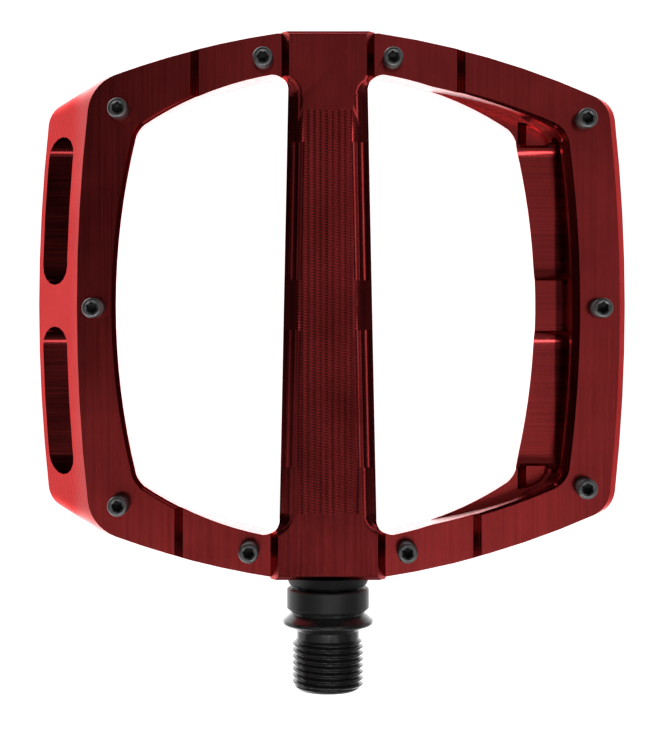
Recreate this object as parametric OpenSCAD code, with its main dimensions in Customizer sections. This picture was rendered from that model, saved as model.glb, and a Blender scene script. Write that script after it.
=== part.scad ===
// Flat bicycle pedal with a machined platform, replaceable traction pins and a
// spindle that runs in a plain bushing and a cartridge ball bearing.
// Frame: origin on the spindle axis at the face that seats on the crank arm,
// +Y outboard along the spindle, +Z up out of the platform, millimetres.
// The platform is the same after half a turn about the spindle, so it works either way up.

/* [Platform] */
// Length of the platform along the spindle
body_len = 109.1; // [105.1:0.2:116.1]
// Distance from the crank seat to the inboard end of the platform
body_start = 10; // [9.6:0.1:13]
// Reach of the leading edge of each side rail from the spindle axis
side_reach = 59.4; // [57:0.2:64]
// Thickness of the side rails and corners
rail_t = 14; // [12.6:0.1:15.4]
// Slant of the outer walls, sideways travel for each unit of height
wall_slope = 0.78; // [0.7:0.01:0.86]
// Height of the steep bevel along the leading edge
bevel_h = 1.95; // [1.2:0.05:2.6]
// Width of the steep bevel along the leading edge
bevel_w = 1.3; // [0.6:0.05:2]
// Small chamfer round the other outer edges
edge_chamfer = 0.4; // [0.3:0.05:0.9]
// Width of the straight middle of the end rails
end_flat_w = 20.4; // [18:0.2:22]
// Radius of the bowed stretches of the end rails
end_arc_r = 165; // [150:1:180]
// How far past the spindle axis the bowed stretches have their centres
end_arc_off = 14; // [12:0.5:16]
// Radius of the bowed side rails
side_arc_r = 350; // [280:5:500]
// Radius of the corners at the leading edges
lead_corner_r = 5.5; // [4:0.25:7]
// Radius of the corners at the set-back edges
corner_r = 8.5; // [6:0.25:9]

/* [Windows and pockets] */
// Width of the rail face beside the wide side of a window
lip_w = 7.7; // [7:0.1:9]
// Width of the rail face beside the pocketed side of a window
rail_face_w = 7.9; // [7.4:0.1:9]
// Width of the end rails at the spindle
end_rail_w = 7.45; // [7.35:0.05:8.6]
// Radius of a window's side
window_side_r = 142; // [120:2:180]
// Radius of a window's ends
window_end_r = 66; // [62:1:72]
// Radius of a window's outer corners
window_corner_r = 6; // [4:0.25:8]
// Radius where a window meets the spine
window_root_r = 3.3; // [2:0.1:4]
// Chamfer round the windows
window_chamfer = 0.85; // [0.4:0.05:1.1]
// Radius of a pocket's side
pocket_side_r = 249; // [200:2:320]
// Radius of a pocket's upright end walls
pocket_end_r = 103; // [95:1:112]
// How far those end walls stand in from the ends of the window
pocket_end_in = 1.25; // [1:0.05:1.5]
// Radius of the rim at a pocket's ends
pocket_rim_r = 112; // [106:1:118]
// How far that rim stands in from the ends of the window
pocket_rim_in = 1.1; // [0.9:0.05:1.3]
// Radius of a pocket's corners
pocket_corner_r = 3.6; // [3:0.1:4.4]
// How far the side wall of a pocket leans out between its ledge and its chamfer
pocket_lean = 0.9; // [0.6:0.05:1.1]
// Chamfer along the side of a pocket
pocket_chamfer = 1.4; // [1:0.1:1.8]
// Thickness of the ledge under a pocket
ledge_t = 4.6; // [4.4:0.1:5]
// Distance of the corner reliefs from the middle of the platform
relief_y = 32.9; // [32.4:0.1:33.6]
// Length of the two straight sides of a corner relief's floor
relief_size = [3.9, 3.7];
// Distance of the corner reliefs' heels from the side of the pocket
relief_in = 8.1; // [7.9:0.1:8.5]
// Depth of the corner reliefs below the ledge
relief_depth = 2; // [1:0.1:2.4]
// How far the walls of a corner relief lean out
relief_lean = 2; // [1.4:0.1:2]

/* [Side slots] */
// Height of the slots through the side rails
slot_h = 7.7; // [6.6:0.1:8.2]
// Length of the slots through the side rails
slot_len = 30; // [24:0.5:32]
// Width of the post between the two slots of a rail
slot_post = 8.4; // [7.4:0.2:10]

/* [End rails] */
// Thickness of the end rails where they are recessed
recess_t = 11; // [10.4:0.1:12]
// Width of the ramps at both ends of a recess
ramp_w = 1.6; // [1:0.1:2]
// Outer end of the recess from the spindle, outboard end rail
recess_reach_out = 25.8; // [24:0.2:27]
// Outer end of the recess from the spindle, inboard end rail
recess_reach_in = 29; // [27:0.2:31]

/* [Spine] */
// Thickness of the platform over the spindle
spine_t = 16.5; // [16.2:0.1:18]
// Width of the spine at its outboard end
spine_w_out = 15.4; // [15.2:0.1:17]
// Width of the spine at its inboard end
spine_w_in = 19.8; // [18.8:0.1:22]
// Width of the shoulders along the sides of the spine
shoulder_w = 3.05; // [2.6:0.05:3.4]
// Length of the straight stretch of the shoulders
shoulder_len = 83; // [80:0.2:84]
// Radius of the round ends of the shoulders
shoulder_r = 4.8; // [4:0.1:5.2]
// Depth of the shoulders at that distance from the flat
shoulder_drop = 3; // [2.4:0.1:3.4]
// How far the spine's ends stand proud of the end rails
spine_proud = 0.05; // [0.04:0.01:0.3]
// Chamfer on the ends of the spine
spine_chamfer = 0.8; // [0.4:0.05:0.85]

/* [Traction pins] */
// Diameter of a pin
pin_d = 4; // [3:0.1:4.2]
// How far a pin stands out of the face
pin_proud = 5.2; // [3:0.1:7]
// Length of a pin in its threaded hole
pin_grip = 3.9; // [3.6:0.1:4]
// Spare depth of a pin's hole below the pin
pin_spare = 0.3; // [0.1:0.05:0.4]
// Clearance round a pin in its hole
pin_clear = 0.02; // [0.01:0.01:0.05]
// Width across flats of the socket in a pin
pin_hex = 2; // [1.5:0.1:2.2]
// Depth of the socket in a pin
pin_hex_depth = 2.2; // [1.5:0.1:2.6]
// Bevel round the top of a pin
pin_bevel = 0.4; // [0.2:0.05:0.6]
// Corner pins on the wide side: distance in from the face's edge
wide_pin_in = 8.6; // [8:0.1:9]
// Corner pins on the wide side: distance in from the platform's end
wide_pin_end = 15.4; // [15:0.1:16.2]
// Corner pins on the wide side: shift towards the crank
wide_pin_shift = 0.3; // [0:0.05:0.5]
// Corner pins on the pocketed side: distance in from the leading edge
narrow_pin_in = 8.4; // [8:0.1:9]
// Corner pins on the pocketed side: distance in from the platform's end
narrow_pin_end = 18.1; // [17.6:0.1:19]
// Corner pins on the pocketed side: shift away from the crank
narrow_pin_shift = 0.4; // [0:0.05:0.5]
// Middle pin on the wide side: distance in from the face's edge
wide_mid_in = 3.6; // [3.4:0.1:4.2]
// Middle pin on the pocketed side: distance in from the leading edge
narrow_mid_in = 5.4; // [5.2:0.1:5.8]
// Middle pins: shift towards the crank
mid_pin_shift = 0.45; // [0:0.05:0.6]
// Outboard end pins: distance in from the platform's end
outboard_pin_in = 5.45; // [4.8:0.05:5.8]
// Inboard end pins: distance in from the platform's end
inboard_pin_in = 5.7; // [4.8:0.05:5.8]
// Outboard end pins: distance from the side of the spine
outboard_pin_gap = 5.2; // [4.8:0.1:6]
// Inboard end pins: distance from the side of the spine
inboard_pin_gap = 5.8; // [4.8:0.1:6.4]

/* [Spindle] */
// Major diameter of the crank thread, 9/16 inch
thread_d = 14.28; // [14:0.01:14.4]
// Length of the threaded end from the crank seat
thread_len = 13.1; // [12:0.1:15]
// Length of the bevel at the tip of the thread
tip_bevel = 1.1; // [0.8:0.1:2]
// Diameter of the flat end of the spindle
tip_d = 12; // [11:0.1:12.6]
// Width across flats of the hex socket in the tip
tip_hex = 8; // [6:0.5:8]
// Depth of the hex socket in the tip
tip_hex_depth = 9; // [6:0.5:10]
// Diameter of the relief between the thread and the flange
neck_d = 12.6; // [12:0.1:13.2]
// Length of the relief between the thread and the flange
neck_len = 2.8; // [1.5:0.1:3.2]
// Diameter of the flange
flange_d = 18.2; // [17.4:0.1:19]
// Thickness of the flange's rim
flange_rim = 0.9; // [0.5:0.1:1.2]
// Length of the cone behind the flange
flange_cone = 1.4; // [1:0.1:1.8]
// Diameter of the root of the flange's cone
flange_root_d = 15; // [14.4:0.1:15.6]
// Width of the seat ring's bevel on the flange
flange_bevel = 0.3; // [0.2:0.05:0.4]
// Step between the thread and the seat ring
seat_step = 0.3; // [0.2:0.05:0.5]
// Diameter of the spindle in the bushing
journal_d = 12; // [11.6:0.1:12.2]
// Length of the plain journal past the bushing
journal_past = 2; // [1:0.5:4]
// Diameter of the spindle at its thin end
shank_d = 8; // [7.6:0.1:8.6]
// Length of the thin end before the narrow bore
shank_before = 4; // [2:0.5:6]
// Diameter of the bearing seat and of the nut's thread
seat_d = 6; // [5.6:0.1:6.2]

/* [Seal and sleeve] */
// Diameter of the dust sleeve
sleeve_d = 16.6; // [16:0.1:17.2]
// Length of the dust sleeve
sleeve_len = 4.5; // [3.8:0.1:4.8]
// Gap between the flange's cone and the dust sleeve
sleeve_gap = 0.6; // [0.3:0.05:0.8]
// Bevel on the ends of the dust sleeve
sleeve_bevel = 0.5; // [0.2:0.05:0.8]
// Diameter of the seal in the body
seal_d = 14.8; // [14.4:0.1:15.4]
// Depth of the seal in the body
seal_depth = 3; // [2:0.1:4]
// Diameter of the seal's lip at the body
lip_d = 17.2; // [16.8:0.1:17.6]
// Diameter of the seal's lip at its free edge
lip_end_d = 15.4; // [15:0.1:15.8]
// How far the lip stands out of the body
lip_len = 2.1; // [1.6:0.1:2.3]

/* [Bushing] */
// Wall of the plain bushing
bushing_wall = 1; // [0.7:0.05:1.1]
// Length of the plain bushing
bushing_len = 20; // [12:0.5:24]
// Room round the spindle between the bushing and the bearing
bore_clear = 0.6; // [0.4:0.1:0.9]
// Running clearance on the spindle, on the radius
run_clear = 0.03; // [0.02:0.01:0.05]

/* [Ball bearing] */
// Outer diameter of the cartridge bearing
bearing_d = 13; // [12.6:0.1:13.4]
// Width of the cartridge bearing
bearing_w = 5; // [4.4:0.1:5.4]
// Number of balls
ball_count = 8; // [6:1:9]
// Diameter of a ball
ball_d = 2.2; // [2:0.05:2.3]
// Clearance between a ball and what it runs in
ball_clear = 0.05; // [0.03:0.01:0.08]
// Clearance of the cage and the shields from the races
cage_clear = 0.12; // [0.1:0.01:0.16]
// Width of the cage's rims beside the balls
cage_rim = 0.5; // [0.4:0.05:0.6]
// Thickness of a shield
shield_t = 0.3; // [0.2:0.05:0.4]
// Length of the narrow bore behind the bearing
narrow_bore_len = 12; // [8:0.5:16]
// Distance of the bearing's outboard face from the outboard end of the platform
bearing_in = 10; // [9.6:0.1:12]

/* [Nut and end cap] */
// How far the spindle stands out of the lock nut
spindle_past = 0.4; // [0.2:0.05:0.6]
// Thickness of the lock washer
washer_t = 0.8; // [0.6:0.05:1]
// Thickness of the lock nut
nut_t = 3.2; // [2.6:0.1:3.4]
// Width across flats of the lock nut
nut_hex = 10; // [9:0.1:10.4]
// Length of the end cap
cap_len = 3.6; // [3.2:0.1:4]
// Depth of the end cap's face below the end of the platform
cap_in = 0.4; // [0.2:0.05:0.8]
// Diameter of the end cap's thread
cap_d = 13.6; // [13.5:0.05:13.8]
// Bevel on the ends of the end cap
cap_bevel = 0.3; // [0.2:0.05:0.4]
// Width across flats of the socket in the end cap
cap_hex = 6; // [5:0.5:6]
// Depth of the socket in the end cap
cap_hex_depth = 2; // [1.5:0.1:2.4]
// Section of the end cap's O-ring
o_ring_section = 0.9; // [0.7:0.05:1]

/* [Hidden] */

anodised_red = "#8f0f18";
black_oxide = "#262626";
matt_black = "#1c1c1c";
seal_black = "#141414";
bearing_steel = "#b9bcc0";
bronze = "#8a6a3c";

$fn = 96;
eps = 0.01;
over = 2;
// Share of a radius by which a round corner runs past its walls, so that they cross cleanly
soft = 0.01;

half_len = body_len / 2;
mid_y = body_start + half_len;
body_end = body_start + body_len;
h = rail_t / 2;
spine_h = spine_t / 2;
recess_h = recess_t / 2;
// Length of the cuts across the end rails, which run into the windows
recess_run = 2 * end_rail_w + over;

// Reach of the leading edge's face and of the set-back edge opposite it
lead_z = h - bevel_h;
face_reach = side_reach - bevel_w;
wide_reach = side_reach - wall_slope * (h + lead_z);
window_reach = wide_reach - lip_w;
pocket_reach = face_reach - rail_face_w;
window_apex = half_len - end_rail_w;

// The spine narrows in a straight line from the inboard to the outboard end
spine_half_out = spine_w_out / 2;
spine_half_in = spine_w_in / 2;
spine_half_mid = (spine_half_out + spine_half_in) / 2;
taper_a = atan((spine_half_in - spine_half_out) / body_len);

// Edges between the three flats of a shoulder, as shares of its radius and its depth
shoulder_edges = [[0.365, 0.21], [0.73, 0.61]];
// Where the broad feet of the spine start, inside the ends of the windows
foot_y = window_apex - 2 * window_root_r;

pin_r = pin_d / 2;
hole_depth = pin_grip + pin_spare;
slot_mid = (slot_post + slot_len) / 2;

// Places along the spindle
sleeve_start = flange_rim + flange_cone + sleeve_gap;
bushing_start = body_start + seal_depth;
bushing_end = bushing_start + bushing_len;
bearing_end = body_end - bearing_in;
bearing_start = bearing_end - bearing_w;
nut_start = bearing_end + washer_t;
spindle_end = nut_start + nut_t + spindle_past;
cap_end = body_end - cap_in;
cap_start = cap_end - cap_len;
bore_step = bearing_start - narrow_bore_len;

// Share of a ball's diameter between its middle and the lands of the races
race_share = 0.28;
// Round sections of the bearing, worked out from its bore and outer diameter
journal_r = journal_d / 2;
seat_r = seat_d / 2;
bearing_r = bearing_d / 2;
pitch_r = (seat_r + bearing_r) / 2;
ball_r = ball_d / 2;
race_gap = ball_d * race_share;
inner_land_r = pitch_r - race_gap;
outer_land_r = pitch_r + race_gap;
shield_r = (outer_land_r + bearing_r) / 2;
bearing_mid = (bearing_start + bearing_end) / 2;

// Points of an arc, the last one left to the next stretch of the outline
function arc(c, r, a0, a1, n) =
    [for (i = [0 : n - 1]) let (a = a0 + (a1 - a0) * i / n) c + r * [cos(a), sin(a)]];

function bearing_of(from, to) = atan2(to.y - from.y, to.x - from.x);
function mirrored_y(p) = [p.x, -p.y];

// Where two circles meet, on the left of the way from the first to the second
function meet(c1, r1, c2, r2) =
    let (
        d = norm(c2 - c1),
        u = (c2 - c1) / d,
        along = (d * d + r1 * r1 - r2 * r2) / (2 * d),
        across = sqrt(r1 * r1 - along * along)
    )
    c1 + along * u + across * [-u.y, u.x];

// Outline of the platform: two bowed sides, two ends that are straight in the middle
// and bowed beside it, and four round corners
function platform_outline(right, left, right_r, left_r, end) =
    let (
        p = [end_flat_w / 2, end],
        q = [-end_flat_w / 2, end],
        low = end - sqrt(pow(end_arc_r, 2) - pow(p.x + end_arc_off, 2)),
        d = [-end_arc_off, low],
        e = [end_arc_off, low],
        s = [right - side_arc_r, 0],
        t = [side_arc_r - left, 0],
        f = meet(s, side_arc_r - right_r, d, end_arc_r - right_r),
        g = meet(e, end_arc_r - left_r, t, side_arc_r - left_r),
        upper = concat(
            arc(s, side_arc_r, 0, bearing_of(s, f), 4),
            arc(f, right_r, bearing_of(s, f), bearing_of(d, f), 7),
            arc(d, end_arc_r, bearing_of(d, f), bearing_of(d, p), 6),
            [p],
            arc(e, end_arc_r, bearing_of(e, q), bearing_of(e, g), 6),
            arc(g, left_r, bearing_of(e, g), bearing_of(t, g), 7),
            arc(t, side_arc_r, bearing_of(t, g), 180, 4)
        ),
        count = len(upper)
    )
    concat(upper, [[-left, 0]], [for (i = [1 : count - 1]) mirrored_y(upper[count - i])]);

// A closed skin through outlines that all have the same number of points
module loft(heights, outlines) {
    n = len(outlines[0]);
    rings = len(outlines);
    points = [for (k = [0 : rings - 1]) for (p = outlines[k]) [p.x, p.y, heights[k]]];
    sides = [
        for (k = [0 : rings - 2]) for (i = [0 : n - 1])
        let (j = (i + 1) % n, a = k * n, b = a + n)
        each [[a + i, b + i, b + j], [a + i, b + j, a + j]]
    ];
    bottom = [for (i = [0 : n - 1]) i];
    top = [for (i = [0 : n - 1]) rings * n - 1 - i];
    polyhedron(points, concat([bottom], sides, [top]), convexity = 4);
}

// A solid of revolution about the spindle axis from points of radius and distance
module turned(profile) {
    rotate([-90, 0, 0])
        rotate_extrude()
            polygon(profile);
}

// A plain round hole or shaft along the spindle axis
module along_spindle(r, from, to) {
    translate([0, from, 0])
        rotate([-90, 0, 0])
            cylinder(r = r, h = to - from);
}

module at_platform() {
    translate([0, mid_y, 0])
        children();
}

// The same thing on both faces, half a turn about the spindle apart
module both_faces() {
    children();
    rotate([0, 180, 0])
        children();
}

// Reach of the right outer wall at a height, the left one being its half-turned copy
function wall_reach(z) =
    z > lead_z ? face_reach : side_reach - wall_slope * (lead_z - z);

module platform_block() {
    heights = [-h, -lead_z, lead_z, h];
    loft(heights, [
        for (z = heights)
        platform_outline(
            wall_reach(z), wall_reach(-z),
            z > 0 ? lead_corner_r : corner_r, z > 0 ? corner_r : lead_corner_r,
            half_len - spine_proud - (abs(z) == h ? edge_chamfer : 0)
        )
    ]);
}

// Plan of one foot of the spine, which takes in the ramps beside it
module spine_foot(half) {
    translate([-half - ramp_w, foot_y])
        square([2 * (half + ramp_w), half_len - foot_y]);
}

module spine_block() {
    c = spine_chamfer;
    intersection() {
        linear_extrude(spine_t, center = true)
            union() {
                polygon([
                    [-spine_half_in, -half_len], [spine_half_in, -half_len],
                    [spine_half_out, half_len], [-spine_half_out, half_len]
                ]);
                spine_foot(spine_half_out);
                mirror([0, 1])
                    spine_foot(spine_half_in);
            }
        rotate([90, 0, 90])
            linear_extrude(spine_w_in + 2 * ramp_w + over, center = true)
                polygon([
                    [-half_len, c - spine_h], [c - half_len, -spine_h],
                    [half_len - c, -spine_h], [half_len, c - spine_h],
                    [half_len, spine_h - c], [half_len - c, spine_h],
                    [c - half_len, spine_h], [-half_len, spine_h - c]
                ]);
    }
}

// Cut along the upper right shoulder of the spine: three flats, turned round at both ends
module shoulder_cut() {
    top = spine_h + over;
    edges = [for (p = shoulder_edges) [shoulder_r * p.x, spine_h - shoulder_drop * p.y]];
    low = spine_h - shoulder_drop;
    far = shoulder_w + over;
    rotate([0, 0, taper_a])
        translate([spine_half_mid * cos(taper_a) - shoulder_w, 0, 0]) {
            rotate([90, 0, 0])
                linear_extrude(shoulder_len, center = true)
                    polygon(concat(
                        [[far, top], [0, top], [0, spine_h]], edges, [[shoulder_r, low], [far, low]]
                    ));
            for (side = [-1, 1])
                translate([shoulder_r * (1 + soft), side * shoulder_len / 2, 0])
                    rotate_extrude()
                        polygon(concat(
                            [[0, top], [shoulder_r, top], [shoulder_r, spine_h]],
                            [for (p = edges) [shoulder_r - p.x, p.y]],
                            [[0, low]]
                        ));
        }
}

// Leaves a round corner about c between the feet p and q on the two walls
module corner_keep(c, p, q, r0, r1, tall) {
    out = ((p + q) / 2 - c) / norm((p + q) / 2 - c);
    difference() {
        translate([0, 0, -eps])
            linear_extrude(tall + 2 * eps)
                polygon([p, p + 2 * r1 * out, q + 2 * r1 * out, q]);
        translate([c.x, c.y, -2 * eps])
            cylinder(r1 = r0, r2 = r1, h = tall + 4 * eps, $fn = 64);
    }
}

// The same for a corner that shifts on the way up: c, p and q each have a foot and a top
module shifting_corner_keep(c, p, q, r, tall) {
    out = ((p[0] + q[0]) / 2 - c[0]) / norm((p[0] + q[0]) / 2 - c[0]);
    difference() {
        loft(
            [-eps, tall + eps],
            [for (k = [0, 1]) [p[k], p[k] + 2 * r * out, q[k] + 2 * r * out, q[k]]]
        );
        loft(
            [-2 * eps, tall + 2 * eps],
            [for (k = [0, 1]) [for (i = [0 : 63]) c[k] + r * [cos(i * 5.625), sin(i * 5.625)]]]
        );
    }
}

// Opening to the right of the spine between two heights: a bowed side, two bowed
// ends and the straight side of the spine, with round corners. On the way up the side and
// the ends lean out by the given amounts. Where these differ, the outer corners shift.
module opening(z0, z1, reach, apex, side_r, end_r, outer_r, gap, lean, end_lean) {
    tall = z1 - z0;
    n = [cos(taper_a), sin(taper_a)];
    t = [-n.y, n.x];
    inner = spine_half_mid * cos(taper_a) + gap;
    s = [reach - side_r, 0];
    e = [0, apex - end_r];
    b = mirrored_y(e);
    outer_in = outer_r * (1 - soft);
    root_in = window_root_r * (1 - soft);
    f = meet(s, side_r - outer_in, e, end_r - outer_in);
    up = inner + root_in - n * e;
    dn = inner + root_in - n * b;
    g = e + up * n + sqrt(pow(end_r - root_in, 2) - up * up) * t;
    k = b + dn * n - sqrt(pow(end_r - root_in, 2) - dn * dn) * t;
    side_foot = s + side_r * (f - s) / norm(f - s);
    end_foot = e + end_r * (f - e) / norm(f - e);
    side_top_r = side_r + lean;
    end_top_r = end_r + end_lean;
    f_top = meet(s, side_top_r - outer_in, e, end_top_r - outer_in);
    side_top = s + side_top_r * (f_top - s) / norm(f_top - s);
    end_top = e + end_top_r * (f_top - e) / norm(f_top - e);
    translate([0, 0, z0])
        difference() {
            intersection() {
                translate(s)
                    cylinder(r1 = side_r, r2 = side_top_r, h = tall, $fn = 360);
                translate(e)
                    cylinder(r1 = end_r, r2 = end_top_r, h = tall, $fn = 360);
                translate(b)
                    cylinder(r1 = end_r, r2 = end_top_r, h = tall, $fn = 360);
                rotate([0, 0, taper_a])
                    translate([inner, -body_len, -over])
                        cube([2 * side_reach, 2 * body_len, tall + 2 * over]);
            }
            for (half = [0, 1])
                mirror([0, half, 0])
                    if (lean == end_lean)
                        corner_keep(f, side_foot, end_foot, outer_r, outer_r + lean, tall);
                    else
                        shifting_corner_keep(
                            [f, f_top], [side_foot, side_top], [end_foot, end_top], outer_r, tall
                        );
            corner_keep(
                g, e + end_r * (g - e) / norm(g - e), g - window_root_r * n,
                window_root_r, window_root_r, tall
            );
            corner_keep(
                k, b + end_r * (k - b) / norm(k - b), k - window_root_r * n,
                window_root_r, window_root_r, tall
            );
        }
}

module window_cut() {
    c = window_chamfer;
    opening(
        -h - over, h + over, window_reach, window_apex,
        window_side_r, window_end_r, window_corner_r, 0, 0, 0
    );
    for (side = [0, 1])
        mirror([0, 0, side])
            opening(
                h - c, h + over, window_reach, window_apex,
                window_side_r, window_end_r, window_corner_r, c, c + over, c + over
            );
}

// Pocket that widens the right window above its ledge
module pocket_cut() {
    c = pocket_chamfer;
    wall_top = pocket_reach - c;
    ledge_z = ledge_t - h;
    lean = pocket_lean * (h + over - ledge_z) / (h - c - ledge_z);
    opening(
        ledge_z, h + over, wall_top - pocket_lean, window_apex - pocket_end_in,
        pocket_side_r, pocket_end_r, pocket_corner_r, window_root_r, lean, 0
    );
    opening(
        h - c, h + over, wall_top, window_apex - pocket_rim_in - c, pocket_side_r,
        pocket_rim_r - c, pocket_corner_r + pocket_lean, window_root_r, c + over, c + over
    );
}

// Corner with two straight sides along the axes and a bowed one between their ends
function quadrant(c, size) =
    concat([c], [for (a = [0 : 22.5 : 90]) c + [size.x * cos(a), size.y * sin(a)]]);

// Small three-cornered relief in the ledge, in the corner between slot and end rail
module relief_cut() {
    heel = [pocket_reach - pocket_chamfer - relief_in, relief_y];
    ledge_z = ledge_t - h;
    upper = quadrant(heel - relief_lean * [1, 0.5], relief_size + relief_lean * [1.4, 0.95]);
    loft(
        [ledge_z - relief_depth, ledge_z, ledge_z + over],
        [quadrant(heel, relief_size), upper, upper]
    );
}

// Round-ended slots through the right side rail
module slot_cuts() {
    r = slot_h / 2;
    run = slot_len / 2 - r;
    far = side_reach + over;
    near = window_reach - slot_h;
    for (side = [-1, 1])
        translate([near, side * slot_mid, 0])
            rotate([90, 0, 90])
                linear_extrude(far - near)
                    polygon(concat(
                        arc([run, 0], r, -90, 90, 8), [[run, r]],
                        arc([-run, 0], r, 90, 270, 8), [[-run, -r]]
                    ));
}

// Recess across one end rail between the spine and the corner, on the upper face
module recess_cut(spine_half, foot) {
    top = spine_h + over;
    rise = ramp_w * (top - recess_h) / (spine_h - recess_h);
    lift = ramp_w * (top - recess_h) / (h - recess_h);
    rotate([90, 0, 0])
        linear_extrude(recess_run + over)
            polygon([
                [spine_half + ramp_w, recess_h], [foot, recess_h],
                [foot + lift, top], [spine_half + ramp_w - rise, top]
            ]);
}

module recess_cuts() {
    for (side = [0, 1]) mirror([side, 0, 0]) {
        translate([0, half_len + over, 0])
            recess_cut(spine_half_out, recess_reach_out);
        translate([0, recess_run - half_len, 0])
            recess_cut(spine_half_in, recess_reach_in);
    }
}

// Places of the pins on the upper face, about the middle of the platform
corner_pins = [
    for (side = [-1, 1]) each [
        [wide_pin_in - wide_reach, side * (half_len - wide_pin_end) - wide_pin_shift],
        [side_reach - narrow_pin_in, side * (half_len - narrow_pin_end) + narrow_pin_shift]
    ]
];
side_pins = [
    [wide_mid_in - wide_reach, -mid_pin_shift], [side_reach - narrow_mid_in, -mid_pin_shift]
];
end_pins = [
    for (side = [-1, 1]) each [
        [side * (spine_half_out + outboard_pin_gap), half_len - outboard_pin_in],
        [side * (spine_half_in + inboard_pin_gap), inboard_pin_in - half_len]
    ]
];

module pin_hole(face) {
    translate([0, 0, face - hole_depth])
        cylinder(r = pin_r + pin_clear, h = hole_depth + over, $fn = 48);
}

module pin_holes() {
    for (p = concat(corner_pins, side_pins))
        translate(p)
            pin_hole(h);
    for (p = end_pins)
        translate(p)
            pin_hole(recess_h);
}

module bores() {
    along_spindle(seal_d / 2, body_start - over, bushing_start);
    along_spindle(journal_r + run_clear + bushing_wall, bushing_start - eps, bushing_end);
    along_spindle(journal_r + bore_clear, bushing_end - eps, bore_step);
    along_spindle(outer_land_r, bore_step - eps, bearing_start);
    along_spindle(bearing_r, bearing_start, cap_start);
    along_spindle(cap_d / 2, cap_start, body_end + over);
}

module pedal_body() {
    color(anodised_red)
        difference() {
            at_platform()
                difference() {
                    union() {
                        platform_block();
                        spine_block();
                    }
                    both_faces() {
                        window_cut();
                        pocket_cut();
                        slot_cuts();
                        shoulder_cut();
                        mirror([1, 0, 0])
                            shoulder_cut();
                        for (side = [0, 1])
                            mirror([0, side, 0])
                                relief_cut();
                        recess_cuts();
                        pin_holes();
                    }
                }
            bores();
        }
}

// One traction pin with its socket up, its foot at the bottom of the grip
module pin() {
    length = pin_grip + pin_proud;
    translate([0, 0, -pin_grip])
        difference() {
            rotate_extrude($fn = 48)
                polygon([
                    [0, 0], [pin_r - pin_bevel, 0], [pin_r, pin_bevel],
                    [pin_r, length - pin_bevel], [pin_r - pin_bevel, length], [0, length]
                ]);
            translate([0, 0, length - pin_hex_depth])
                cylinder(d = pin_hex / cos(30), h = pin_hex_depth + over, $fn = 6);
        }
}

module pins(places, face) {
    color(black_oxide)
        at_platform()
            for (p = places)
                translate([p.x, p.y, face])
                    pin();
}

module lower_pins(places, face) {
    rotate([0, 180, 0])
        pins(places, face);
}

module upper_corner_pins() { pins(corner_pins, h); }
module upper_side_pins() { pins(side_pins, h); }
module upper_end_pins() { pins(end_pins, recess_h); }
module lower_corner_pins() { lower_pins(corner_pins, h); }
module lower_side_pins() { lower_pins(side_pins, h); }
module lower_end_pins() { lower_pins(end_pins, recess_h); }

module spindle() {
    seat_in = thread_d / 2 + seat_step;
    neck_r = neck_d / 2;
    end_bevel = 0.5;
    color(black_oxide)
        difference() {
            turned([
                [0, -thread_len], [tip_d / 2, -thread_len],
                [thread_d / 2, tip_bevel - thread_len],
                [thread_d / 2, neck_r - thread_d / 2 - neck_len], [neck_r, -neck_len],
                [neck_r, neck_r - seat_in], [seat_in, 0],
                [flange_d / 2 - flange_bevel, 0], [flange_d / 2, flange_bevel],
                [flange_d / 2, flange_rim],
                [flange_root_d / 2, flange_rim + flange_cone],
                [flange_root_d / 2, sleeve_start], [journal_r, sleeve_start],
                [journal_r, bushing_end + journal_past], [shank_d / 2, bore_step - shank_before],
                [shank_d / 2, bearing_start], [seat_r, bearing_start],
                [seat_r, spindle_end - end_bevel], [seat_r - end_bevel, spindle_end], [0, spindle_end]
            ]);
            translate([0, -thread_len - over, 0])
                rotate([-90, 0, 0])
                    cylinder(d = tip_hex / cos(30), h = tip_hex_depth + over, $fn = 6);
        }
}

module dust_sleeve() {
    r = sleeve_d / 2;
    e = sleeve_start + sleeve_len;
    color(matt_black)
        turned([
            [journal_r, sleeve_start], [r - sleeve_bevel, sleeve_start],
            [r, sleeve_start + sleeve_bevel], [r, e - sleeve_bevel / 2],
            [r - sleeve_bevel / 2, e], [journal_r, e]
        ]);
}

module inboard_seal() {
    inner = journal_r + run_clear;
    color(seal_black)
        turned([
            [inner, body_start - lip_len], [lip_end_d / 2, body_start - lip_len],
            [lip_d / 2, body_start], [seal_d / 2, body_start],
            [seal_d / 2, bushing_start], [inner, bushing_start]
        ]);
}

module plain_bushing() {
    inner = journal_r + run_clear;
    color(bronze)
        turned([
            [inner, bushing_start], [inner + bushing_wall, bushing_start],
            [inner + bushing_wall, bushing_end], [inner, bushing_end]
        ]);
}

// Ball track that is cut into both races
module ball_track() {
    translate([0, bearing_mid, 0])
        rotate([-90, 0, 0])
            rotate_extrude()
                translate([pitch_r, 0])
                    circle(ball_r + ball_clear, $fn = 48);
}

module bearing_outer_race() {
    color(bearing_steel)
        difference() {
            turned([
                [shield_r, bearing_start], [bearing_r, bearing_start],
                [bearing_r, bearing_end], [shield_r, bearing_end],
                [shield_r, bearing_end - shield_t], [outer_land_r, bearing_end - shield_t],
                [outer_land_r, bearing_start + shield_t], [shield_r, bearing_start + shield_t]
            ]);
            ball_track();
        }
}

module bearing_inner_race() {
    color(bearing_steel)
        difference() {
            turned([
                [seat_r, bearing_start], [inner_land_r, bearing_start],
                [inner_land_r, bearing_end], [seat_r, bearing_end]
            ]);
            ball_track();
        }
}

module ball_places() {
    for (i = [0 : ball_count - 1])
        rotate([0, i * 360 / ball_count, 0])
            translate([pitch_r, bearing_mid, 0])
                children();
}

module bearing_balls() {
    color(bearing_steel)
        ball_places()
            sphere(ball_r, $fn = 48);
}

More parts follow.
